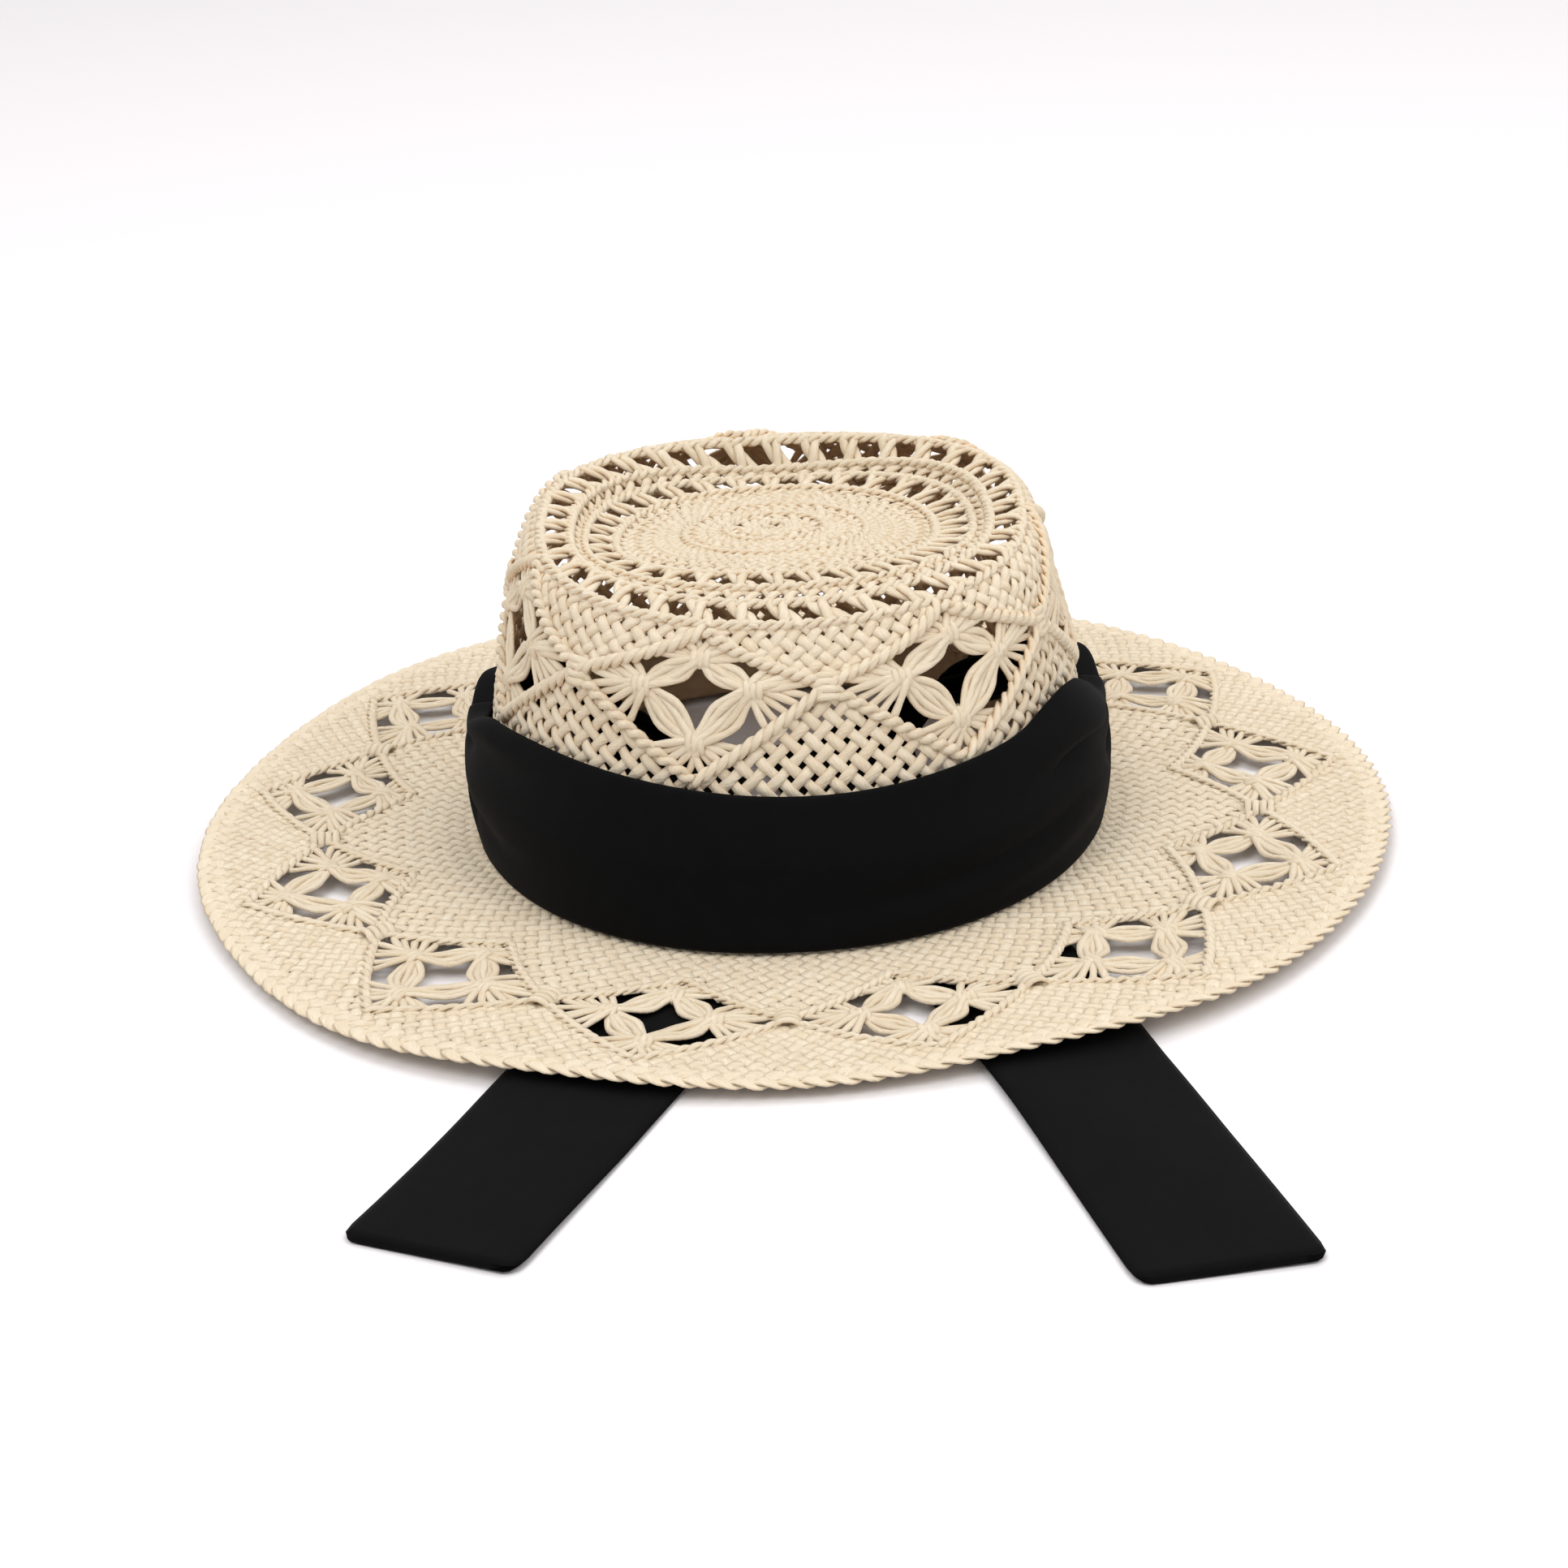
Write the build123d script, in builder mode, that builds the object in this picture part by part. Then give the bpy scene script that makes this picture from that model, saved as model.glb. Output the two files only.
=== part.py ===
"""Straw sun hat: an openwork crown and brim of twisted paper straw, with a wide ribbon scarf.

The hat stands on the edge of its brim. +Z is up, +X is the wearer's left as seen from the front,
-Y is the front. The origin is the middle of the head opening, on the surface that the hat stands on.
"""

import os
from math import cos, radians, sin

from build123d import *

# Driving sizes, in millimetres
STRAW = 2.4  # thickness of the woven straw
BRIM_HALF_WIDTH = 176
BRIM_HALF_LENGTH = 187
BRIM_SHIFT = -5  # the brim reaches further forward than back
BRIM_UNDERSIDE = 3.0  # the brim is held this high by its plaited edge
BRIM_TOP = BRIM_UNDERSIDE + STRAW
BRAID_WIDTH = 5
BAND_TOP = 51  # the scarf band's upper edge
RIBBON_WIDTH = 47
RIBBON = 1.8  # the doubled ribbon
BORDER = 5  # width of the twined cords
BORDER_PROUD = 0.8
CROWN_DIAMONDS = 7
BRIM_DIAMONDS = 13
CROWN_TURN = 8  # the crown's diamonds meet this many degrees to the side of the front
CROWN_CORNERS = {"top": 86.5, "side": 72, "bottom": 48}  # heights of the corners of its diamonds
BRIM_TURN = -1.5  # the brim's diamonds meet here, by the front
BRIM_CORNERS = {"near": 115.5, "side": 138.5, "far": 164.5}  # half widths of the ovals they lie on
BRIM_MARGIN = 10.5  # those ovals are this much longer than wide, each way
SLOT_TURN = 111  # the scarf goes through the crown here, in degrees from the front
SLOT_HEIGHT = 38
SLOT_SIZE = (28, 14)
HINGE_Y = 31  # the tails bend here when they hang
HINGE_Z = 1.0
HINGE_GAP = 2.2  # from the hinge to the gathered end behind it

# Ovals of the crown from its base up: half width, half length, shift, height, rise at the front,
# and squareness, which is 2 for an ellipse
BASE = (90.5, 103.5, -2, BRIM_UNDERSIDE, 0, 2.05)
WAIST = (85.5, 97, 0, 47, 0, 2.2)
CHEST = (79, 88.5, 2.5, 75, 0, 2.4)
SHOULDER = (76.2, 83.5, 2.5, 86, -2, 2.45)
CREST = (72.5, 78, 1.8, 92, -3, 2.5)
WALL = (BASE, WAIST, CHEST, SHOULDER, CREST)
# The dished top, from its floor up
TIP = (46.8, 53.6, 3.6, 87, 4, 2.2)
LADDER = (55.5, 62.6, 3.4, 89, 1.5, 2.3)
RIM = (64.5, 70.5, 2.6, 92.3, -2.5, 2.5)
ABOVE = (65.5, 71.5, 2.6, 94.2, -2.5, 2.5)


def at_height(z):
    """The oval of the crown's outside at a height."""
    for low, high in zip(WALL, WALL[1:]):
        if z <= high[3]:
            break
    share = (z - low[3]) / (high[3] - low[3])
    return tuple(p + (q - p) * share for p, q in zip(low, high))


def on_oval(oval, turn):
    """The point of an oval at a turn in degrees from the front, towards +X."""
    half_width, half_length, shift, z, rise, square = oval
    s, c = sin(radians(turn)), cos(radians(turn))
    k = (abs(s) ** square + abs(c) ** square) ** (-1 / square)
    return Vector(half_width * k * s, shift - half_length * k * c, z + rise * k * c)


def outward(oval, turn):
    """The horizontal direction that points out of an oval at a turn."""
    point = on_oval(oval, turn)
    return Vector(point.X / oval[0] ** 2, (point.Y - oval[2]) / oval[1] ** 2, 0).normalized()


def moved(oval, out=0, up=0):
    """An oval made larger by out and raised by up."""
    half_width, half_length, shift, z, rise, square = oval
    return (half_width + out, half_length + out, shift, z + up, rise, square)


def oval_face(oval, points=24):
    """The face of an oval, in its own tilted plane."""
    half_width, half_length, shift, z, rise, square = oval
    tilt = Plane(origin=(0, shift, z), x_dir=(1, 0, 0), z_dir=Vector(0, rise / half_length, 1).normalized())
    flat = (half_width, half_length, 0, 0, 0, square)
    with BuildSketch(tilt) as face:
        with BuildLine():
            Spline([on_oval(flat, 360 * i / points) for i in range(points)], periodic=True)
        make_face()
    return face.sketch.faces()[0]


def stack(*ovals):
    """A solid whose sides run straight from oval to oval."""
    with BuildPart() as solid:
        loft(sections=[oval_face(oval) for oval in ovals], ruled=True)
    return solid.part


def column(oval, low, high):
    """An upright column with the plan of an oval."""
    half_width, half_length, shift, _, _, square = oval
    with BuildPart() as solid:
        extrude(oval_face((half_width, half_length, shift, low, 0, square)), amount=high - low)
    return solid.part


def crown_shell(proud=0.0):
    """The crown's wall and dished top, made proud of the weave's outside by a little."""
    dish = (TIP, LADDER, RIM, ABOVE)
    outside = stack(*[moved(oval, proud, proud if oval is CREST else 0) for oval in WALL])
    outside -= stack(*[moved(oval, -proud, proud) for oval in dish], moved(ABOVE, 0, 12))
    foot = moved(BASE, -STRAW, -1)
    inside = stack(foot, *[moved(oval, -STRAW, -STRAW if oval is CREST else 0) for oval in WALL])
    inside -= stack(*[moved(oval, STRAW * 0.8, -STRAW) for oval in dish], moved(ABOVE, STRAW, 12))
    return outside - inside


def diamond_outline(corners, plane, spread):
    """The outline of an openwork diamond in its plane, made larger or smaller by spread."""
    local = [plane.to_local_coords(corner) for corner in corners]
    with BuildSketch(plane) as outline:
        with BuildLine():
            Polyline([(p.X, p.Y) for p in local], close=True)
        make_face()
        offset(amount=spread, kind=Kind.INTERSECTION)
    return outline.sketch


def diamond_prism(corners, plane, spread, reach):
    """A prism through the straw with the outline of a diamond."""
    with BuildPart() as prism:
        extrude(diamond_outline(corners, plane, spread), amount=reach, both=True)
    return prism.part


def diamond_holes(corners, plane, reach):
    """The openings of a diamond: one in the middle, two at the sides, and one above and below."""
    local = [plane.to_local_coords(corner) for corner in corners]
    middle = sum(local, Vector(0, 0, 0)) * 0.25
    with BuildPart() as holes:
        with BuildSketch(plane):
            with Locations((middle.X, middle.Y)):
                Ellipse(9, 6)
            for corner, radius in zip(local, (4.5, 3, 4.5, 3)):
                spot = middle + (corner - middle) * 0.62
                with Locations((spot.X, spot.Y)):
                    Circle(radius)
        extrude(amount=reach, both=True)
    return holes.part


def crown_diamond(index):
    """Corners and plane of one diamond of the crown."""
    step = 360 / CROWN_DIAMONDS
    turn = CROWN_TURN + step * (index + 0.5)
    middle = at_height(CROWN_CORNERS["side"])
    left = on_oval(middle, turn - step / 2)
    right = on_oval(middle, turn + step / 2)
    top = on_oval(at_height(CROWN_CORNERS["top"]), turn)
    bottom = on_oval(at_height(CROWN_CORNERS["bottom"]), turn)
    across = (right - left).normalized()
    normal = across.cross((top - bottom).normalized())
    plane = Plane(origin=(left + right + top + bottom) * 0.25, x_dir=across, z_dir=normal)
    return (left, bottom, right, top), plane


def brim_oval(corner):
    """The oval of the brim that one kind of corner lies on."""
    half_width = BRIM_CORNERS[corner]
    return (half_width, half_width + BRIM_MARGIN, BRIM_SHIFT + 1, BRIM_UNDERSIDE, 0, 2)


def brim_diamond(index):
    """Corners and plane of one diamond of the brim."""
    step = 360 / BRIM_DIAMONDS
    turn = BRIM_TURN + step * (index + 0.5)
    left = on_oval(brim_oval("side"), turn - step / 2)
    right = on_oval(brim_oval("side"), turn + step / 2)
    near = on_oval(brim_oval("near"), turn)
    far = on_oval(brim_oval("far"), turn)
    plane = Plane(origin=(left + right + near + far) * 0.25)
    return (left, near, right, far), plane


def save(part, name):
    """Label a finished piece and write it."""
    part.label = name
    export_step(part, f"parts/{name}.step")


def cells(count, corners_of, reach):
    """The diamonds' prisms: their cords' outer outline, and the openwork inside the cords."""
    outer = [diamond_prism(*corners_of(i), BORDER / 2, reach) for i in range(count)]
    inner = [diamond_prism(*corners_of(i), -BORDER / 2, reach) for i in range(count)]
    return outer, inner


os.makedirs("parts", exist_ok=True)

# ---- The crown's top: a dense mat, two ladders of posts, and the rows between them ----
shell = crown_shell()
raised_shell = crown_shell(BORDER_PROUD)
TOP_LOW, TOP_HIGH = 78, 102
INSIDE_RIM = (63, 69, 2.6, 0, 0, 2.5)  # between the rows and the rim's ladder
OUTSIDE_RIM = (71.3, 76.8, 2, 0, 0, 2.5)  # between that ladder and the wall
TIP_POSTS = (51.2, 58.1, 3.5, 0, 0, 2.25)  # the ovals that the openings of the ladders lie on
RIM_POSTS = (67.2, 72.9, 2.3, 0, 0, 2.5)
tip_column = column(moved(TIP, 0.3), TOP_LOW, TOP_HIGH)  # clear of the dish's own edges
ladder_column = column(moved(LADDER, 0.4), TOP_LOW, TOP_HIGH)
rim_column = column(INSIDE_RIM, TOP_LOW, TOP_HIGH)
crest_column = column(OUTSIDE_RIM, TOP_LOW, TOP_HIGH)

with BuildPart() as crown_tip:
    add(shell & tip_column)
save(crown_tip.part, "crown_tip")


def posts_cutter(oval, count, width, length):
    """Openings between the posts of a ladder, spaced round an oval."""
    with BuildPart() as cutter:
        for i in range(count):
            turn = 360 * (i + 0.5) / count
            spot = on_oval(oval, turn)
            out = outward(oval, turn)
            with BuildSketch(Plane(origin=(spot.X, spot.Y, TOP_LOW), x_dir=out, z_dir=(0, 0, 1))):
                SlotOverall(length, width)
            extrude(amount=TOP_HIGH - TOP_LOW)
    return cutter.part


with BuildPart() as tip_ladder:
    add((shell & ladder_column) - tip_column)
    add(posts_cutter(TIP_POSTS, 28, 4, 6), mode=Mode.SUBTRACT)
save(tip_ladder.part, "tip_ladder")

with BuildPart() as crown_rim_weave:
    add((shell & rim_column) - ladder_column)
save(crown_rim_weave.part, "crown_rim_weave")

with BuildPart() as rim_ladder:
    add((shell & crest_column) - rim_column)
    add(posts_cutter(RIM_POSTS, 34, 4, 4.6), mode=Mode.SUBTRACT)
save(rim_ladder.part, "rim_ladder")

# ---- The crown's wall: diamonds between two fields of diagonal weave ----
wall = shell - crest_column
CROWN_REACH = 16
crown_outer, crown_inner = cells(CROWN_DIAMONDS, crown_diamond, CROWN_REACH)
fields = wall - crown_outer

for i in range(CROWN_DIAMONDS):
    pierced = (wall & crown_inner[i]) - diamond_holes(*crown_diamond(i), CROWN_REACH)
    with BuildPart() as openwork:
        add(pierced.solids().sort_by(SortBy.VOLUME)[-1])
    save(openwork.part, f"crown_diamond_{i + 1}")

with BuildPart() as crown_twined_border:
    add((raised_shell - crest_column) & (Part() + crown_outer))
    add(crown_inner, mode=Mode.SUBTRACT)
save(crown_twined_border.part, "crown_twined_border")

with BuildPart() as crown_upper_weave:
    add(fields.solids().sort_by(Axis.Z)[-1])
save(crown_upper_weave.part, "crown_upper_weave")

with BuildPart() as crown_lower_weave:
    add(fields.solids().sort_by(Axis.Z)[0])
    for side in (-1, 1):
        slot_oval = at_height(SLOT_HEIGHT)
        spot = on_oval(slot_oval, side * SLOT_TURN)
        with BuildSketch(Plane(origin=spot, x_dir=(0, 0, 1), z_dir=outward(slot_oval, side * SLOT_TURN))):
            SlotOverall(*SLOT_SIZE)
        extrude(amount=10, both=True, mode=Mode.SUBTRACT)
save(crown_lower_weave.part, "crown_lower_weave")

# ---- The brim ----
opening_column = column(BASE, 0, 20)
edge = (BRIM_HALF_WIDTH, BRIM_HALF_LENGTH, BRIM_SHIFT, 0, 0, 2)
brim_column = column(moved(edge, -BRAID_WIDTH), BRIM_UNDERSIDE, BRIM_TOP)
brim_sheet = brim_column - opening_column
BRIM_REACH = 6
brim_outer, brim_inner = cells(BRIM_DIAMONDS, brim_diamond, BRIM_REACH)
brim_fields = (brim_sheet - brim_outer).solids().sort_by(lambda solid: solid.bounding_box().size.X)

with BuildPart() as brim_inner_weave:
    add(brim_fields[0])
save(brim_inner_weave.part, "brim_inner_weave")

for i in range(BRIM_DIAMONDS):
    with BuildPart() as openwork:
        add(brim_sheet & brim_inner[i])
        add(diamond_holes(*brim_diamond(i), BRIM_REACH), mode=Mode.SUBTRACT)
    save(openwork.part, f"brim_diamond_{i + 1}")

raised_brim = column(moved(edge, -BRAID_WIDTH), BRIM_UNDERSIDE, BRIM_TOP + BORDER_PROUD) - opening_column
with BuildPart() as brim_twined_border:
    add(raised_brim & (Part() + brim_outer))
    add(brim_inner, mode=Mode.SUBTRACT)
save(brim_twined_border.part, "brim_twined_border")

with BuildPart() as brim_outer_weave:
    add(brim_fields[-1])
save(brim_outer_weave.part, "brim_outer_weave")

# ---- The scarf's free tails: flat ribbons that lie forward on the floor ----
TAIL_ROUTES = {
    "left": [(-37, HINGE_Y - 1), (-36, -40), (-38.5, -100), (-42, -140), (-60, -194), (-90.5, -264)],
    "right": [(16, HINGE_Y - 1), (30, -30), (46, -90), (58.5, -141), (72, -185), (84, -238), (96, -290)],
}
TAIL_ENDS = {"left": (-0.45, -0.9), "right": (0.2, -0.98)}


def tail_outline(side, width, points=9):
    """The plan of a tail, a ribbon of even width along its route."""
    with BuildLine(mode=Mode.PRIVATE) as route:
        Spline(TAIL_ROUTES[side], tangents=[(0, -1), TAIL_ENDS[side]])
    rims = []
    for hand in (-1, 1):
        rim = []
        for i in range(points):
            heading = route.line % (i / (points - 1))
            rim.append(route.line @ (i / (points - 1)) + Vector(-heading.Y, heading.X) * hand * width / 2)
        rims.append(rim)
    with BuildSketch() as outline:
        with BuildLine():
            Spline(rims[0])
            Line(rims[0][-1], rims[1][-1])
            Spline(rims[1])
            Line(rims[1][0], rims[0][0])
        make_face()
    return outline.sketch


for side in TAIL_ROUTES:
    with BuildPart() as tail:
        extrude(tail_outline(side, RIBBON_WIDTH), amount=RIBBON)
        corners = tail.edges().filter_by(Axis.Z).sort_by(Axis.Y)[:2]
        fillet(corners, 4)
    save(tail.part, f"scarf_tail_{side}")

with BuildPart() as brim_edge_braid:
    add(column(edge, 0, BRIM_TOP))
    add(column(moved(edge, -BRAID_WIDTH), -1, BRIM_TOP + 1), mode=Mode.SUBTRACT)
    fillet(brim_edge_braid.edges().group_by(Axis.Z)[-1], 1.5)
    for side in TAIL_ROUTES:  # the braid lifts over the tails
        extrude(tail_outline(side, RIBBON_WIDTH + 6), amount=RIBBON + 0.8, mode=Mode.SUBTRACT)
save(brim_edge_braid.part, "brim_edge_braid")

# ---- Inside: the sweatband ----
BAND_GAP = 0.3
SWEATBAND = (3.2, 25)  # its lower and upper edge
SWEATBAND_THICK = 1.2
with BuildPart() as sweatband:
    rims = [(*at_height(z)[:3], z, 0, at_height(z)[5]) for z in SWEATBAND]
    add(stack(*[moved(rim, -STRAW - BAND_GAP) for rim in rims]))
    add(stack(*[moved(rim, -STRAW - BAND_GAP - SWEATBAND_THICK) for rim in rims]), mode=Mode.SUBTRACT)
save(sweatband.part, "sweatband")

# ---- The scarf band across the front and sides ----
BAND = (
    (97, 110.5, -2, BRIM_TOP + 0.3, 0, 2.05),
    (98, 107.5, -1, 28, 0, 2.1),
    (92.5, 99.3, 0.2, BAND_TOP, 0, 2.2),
)
BAND_TURN = 100  # the band ends this far round from the front
with BuildPart() as scarf_band:
    add(stack(*BAND))
    add(stack(*[moved(oval, -RIBBON) for oval in BAND]), mode=Mode.SUBTRACT)
    ends = [Vector(side * 150 * sin(radians(BAND_TURN)), -150 * cos(radians(BAND_TURN))) for side in (1, -1)]
    with BuildSketch():
        with BuildLine():
            Polyline([(0, 0), ends[0], (150, 200), (-150, 200), ends[1]], close=True)
        make_face()
    extrude(amount=100, mode=Mode.SUBTRACT)
save(scarf_band.part, "scarf_band")


def ribbon(sections):
    """A ribbon through sections: centre, direction across, heading, width and thickness."""
    with BuildPart() as solid:
        for centre, across, heading, width, thickness in sections:
            across = Vector(across).normalized()
            heading = Vector(heading).normalized()
            across = (across - heading * across.dot(heading)).normalized()
            with BuildSketch(Plane(origin=centre, x_dir=across, z_dir=heading)):
                Rectangle(width, thickness)
        loft(ruled=True)
    return solid.part


def tuck(side):
    """The gathered ribbon from the band's end, in through its slot, and down to where the tail starts."""
    oval = at_height(SLOT_HEIGHT)

    def beside(turn, off, z):
        spot = on_oval(oval, side * turn) + outward(oval, side * turn) * off
        return (spot.X, spot.Y, z)

    rear = TAIL_ROUTES["left" if side < 0 else "right"][0][0]
    wall_in = outward(oval, side * SLOT_TURN) * -1
    along = Vector(0, 0, 1).cross(wall_in) * side * -1
    up = (0, 0, 1)
    slot = Vector(*beside(SLOT_TURN, 0, SLOT_HEIGHT))
    inside = slot + wall_in * 9
    end = Vector(rear, HINGE_Y + HINGE_GAP, HINGE_Z)
    return ribbon(
        [
            (beside(BAND_TURN + 1.5, 9.5, 29), up, along, 42, 2),
            (beside(SLOT_TURN - 4, 7.5, 35), up, along + wall_in * 0.7, 30, 3.5),
            (beside(SLOT_TURN, 3, SLOT_HEIGHT), up, wall_in, 22, 5),
            (inside, up, wall_in, 22, 5),
            (inside * 0.75 + end * 0.25 + Vector(0, 12, 2), (side * -0.5, 0, 0.87), (side * -1, 0.7, -0.6), 26, 4),
            (inside * 0.4 + end * 0.6 + Vector(0, 18, 2), (side * -0.9, 0, 0.4), (side * -1, -0.3, -0.7), 34, 3),
            (end + Vector(side * 2, 9, 3), (1, 0, 0), (0, -1, -0.3), 42, RIBBON),
            (end, (1, 0, 0), (0, -1, 0), RIBBON_WIDTH, RIBBON),
        ]
    )


with BuildPart() as scarf_tuck_left:
    add(tuck(-1))
save(scarf_tuck_left.part, "scarf_tuck_left")

with BuildPart() as scarf_tuck_right:
    add(tuck(1))
save(scarf_tuck_right.part, "scarf_tuck_right")
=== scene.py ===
"""Looks of the straw sun hat: woven, twined and knotted paper straw, and a black ribbon scarf.

Everything lies on one curved sheet, the hat's surface. A place on it is a turn, in degrees from the
front towards +X, and a reach, in millimetres along the straw from the middle of the crown's top
down the side and out over the brim. Strands are tubes laid along paths on that sheet.
"""

from math import cos, pi, radians, sin

import bmesh
import bpy
import numpy as np
from mathutils import Matrix, Vector


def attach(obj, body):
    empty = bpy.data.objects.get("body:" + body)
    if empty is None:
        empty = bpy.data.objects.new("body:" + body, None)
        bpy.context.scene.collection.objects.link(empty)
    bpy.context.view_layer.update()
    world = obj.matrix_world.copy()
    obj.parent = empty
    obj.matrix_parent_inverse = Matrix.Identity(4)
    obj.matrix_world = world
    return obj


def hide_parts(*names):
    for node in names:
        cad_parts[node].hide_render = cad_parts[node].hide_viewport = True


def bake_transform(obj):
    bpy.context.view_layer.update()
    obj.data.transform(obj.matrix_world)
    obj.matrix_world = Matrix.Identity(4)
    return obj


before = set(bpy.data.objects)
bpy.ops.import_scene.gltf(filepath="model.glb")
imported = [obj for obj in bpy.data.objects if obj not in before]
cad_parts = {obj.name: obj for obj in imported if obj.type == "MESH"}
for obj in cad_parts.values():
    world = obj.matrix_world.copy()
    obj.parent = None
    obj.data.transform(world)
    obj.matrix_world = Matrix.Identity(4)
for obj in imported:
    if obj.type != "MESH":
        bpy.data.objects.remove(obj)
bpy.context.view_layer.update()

MM = 0.001
chance = np.random.default_rng(7)

# ---------------------------------------------------------------- the hat's surface

# Rings of the hat in millimetres: half width, front, back, shift to the side and squareness,
# then the height at the front, front corners, sides, back corners and back
RINGS = {
    "centre": (0.0, 3.6, 3.6, -1.0, 2.0, 88.4, 88.4, 88.4, 88.4, 88.4),
    "tip": (46.8, -50.0, 57.0, -1.0, 2.2, 91.6, 89.8, 85.4, 83.2, 82.6),
    "ladder": (57.0, -59.0, 66.3, 0.0, 2.4, 91.2, 90.8, 87.6, 85.0, 82.8),
    "rim": (61.0, -67.0, 70.6, 0.4, 2.45, 88.8, 91.4, 91.4, 89.8, 84.8),
    "crest": (69.6, -73.0, 74.3, 0.7, 2.5, 85.4, 89.4, 93.9, 94.3, 93.4),
    "fold": (73.2, -77.0, 79.3, 0.9, 2.5, 81.2, 85.6, 91.2, 93.2, 94.0),
    "shoulder": (75.8, -80.6, 84.5, 0.6, 2.45, 76.6, 79.8, 84.6, 87.0, 88.2),
    "chest": (78.4, -85.6, 89.5, 0.2, 2.4, 71.6, 72.4, 74.6, 76.0, 77.0),
    "waist": (84.3, -95.8, 95.8, 0.0, 2.2, 47.0, 47.0, 47.0, 47.0, 47.0),
    "base": (89.0, -104.0, 100.0, 0.0, 2.05, 8.0, 8.0, 8.0, 8.0, 8.0),
    "brim": (95.0, -110.5, 105.5, 0.0, 2.0, 4.2, 4.2, 4.2, 4.2, 4.2),
    "edge": (174.5, -190.5, 180.5, 0.0, 2.0, 4.0, 4.0, 4.0, 4.0, 4.0),
}
PROFILE = np.array(list(RINGS.values()))
SIDE_HEIGHTS = PROFILE[:, 7]
ARC = np.concatenate([[0], np.cumsum(np.hypot(np.diff(PROFILE[:, 0]), np.diff(SIDE_HEIGHTS)))])
REACH = dict(zip(RINGS, ARC))
STEP = 0.5
ROUNDING = 1.7  # how softly the straw bends from one stretch to the next


def smooth_profile():
    """The rings at every half millimetre of reach, with their corners rounded."""
    reach = np.arange(0, ARC[-1] + STEP, STEP)
    half = int(4 * ROUNDING / STEP)
    kernel = np.exp(-0.5 * (np.arange(-half, half + 1) * STEP / ROUNDING) ** 2)
    kernel /= kernel.sum()
    columns = []
    for values in PROFILE.T:
        padded = np.pad(np.interp(reach, ARC, values), half, mode="reflect", reflect_type="odd")
        columns.append(np.convolve(padded, kernel, mode="valid"))
    return reach, np.array(columns)


FINE, FINE_RINGS = smooth_profile()
GIRTH = 2 * pi * np.sqrt((FINE_RINGS[0] ** 2 + ((FINE_RINGS[2] - FINE_RINGS[1]) / 2) ** 2) / 2) + 1e-6
# How far a strand at 45 degrees has turned round the hat by a given reach
SWEEP = np.concatenate([[0], np.cumsum(360 * STEP / np.maximum(GIRTH, 12.0))])[:-1]
# Turns the five heights of a ring into waves round it
WAVES = np.linalg.inv(np.array([[cos(k * pi * i / 4) for k in range(5)] for i in range(5)]))


def sweep(reach):
    return np.interp(reach, FINE, SWEEP)


def girth(reach):
    return np.interp(reach, FINE, GIRTH)


def bump_near(turn, centre, spread):
    """A smooth hump of height 1 round a turn."""
    away = (turn - centre + 180) % 360 - 180
    return np.exp(-0.5 * (away / spread) ** 2)


# Humps of the brim's edge, each with the turn of its middle, its spread in degrees and its size.
# A lift is in millimetres, and the others are shares of the edge's distance from the middle.
BRIM_LIFTS = ((-24, 12, 2.6), (28, 13, 3.4), (70, 18, 1.5), (-95, 20, 2.0))
BRIM_REST = 0.4  # the edge lies this much lower between its lifts
BRIM_WIDER = ((-40, 12, 0.03), (40, 12, 0.012), (-140, 12, 0.02))
BRIM_NARROWER = ((-107, 16, 0.03), (16, 9, 0.015), (120, 16, 0.014))


def humps(turn, table):
    """The height of a table's humps at a turn, added up."""
    return sum(size * bump_near(turn, centre, spread) for centre, spread, size in table)


def brim_wave(turn):
    """How far the brim's edge lifts, in millimetres: over the scarf's tails and a little at the sides."""
    return humps(turn, BRIM_LIFTS) - BRIM_REST


def brim_reach_wave(turn):
    """How much further out the brim's edge runs at some turns, as a share of its distance."""
    return humps(turn, BRIM_WIDER) - humps(turn, BRIM_NARROWER)


def oval(angle, square):
    """Sine and cosine of an angle, and what pushes them out onto an oval of some squareness."""
    s, c = np.sin(angle), np.cos(angle)
    return s, c, (np.abs(s) ** square + np.abs(c) ** square) ** (-1 / square)


def place(turn, reach, lift=0.0):
    """Points of the hat's surface in millimetres, raised by lift along its normal, and the normals."""

    def flat(turn, reach):
        a, front, back, aside, square, *heights = (np.interp(reach, FINE, row) for row in FINE_RINGS)
        s, c, k = oval(np.radians(turn), square)
        z = 0.0
        for wave, weights in enumerate(WAVES):
            z = z + np.cos(wave * np.radians(turn)) * sum(w * h for w, h in zip(weights, heights))
        out = np.clip((reach - REACH["brim"]) / (REACH["edge"] - REACH["brim"]), 0, 1.1)
        z = z + out**2 * brim_wave(turn)
        k = k * (1 + out**2 * brim_reach_wave(turn))
        return np.stack([aside + a * k * s, (front + back) / 2 - (back - front) / 2 * k * c, z], axis=-1)

    d = 0.25
    around = flat(turn + d, reach) - flat(turn - d, reach)
    down = flat(turn, reach + d) - flat(turn, reach - d)
    normal = np.cross(down, around)
    normal /= np.maximum(np.linalg.norm(normal, axis=-1, keepdims=True), 1e-9)
    return flat(turn, reach) + normal * np.asarray(lift)[..., None], normal


# ---------------------------------------------------------------- strands

UNEVEN = 0.09  # how much a strand's width varies
UNEVEN_EVERY = 8.0  # and over what length, in millimetres
CROWN_INSIDE = 12.0  # above this height the straw's back looks into the crown and is given painted shade


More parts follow.
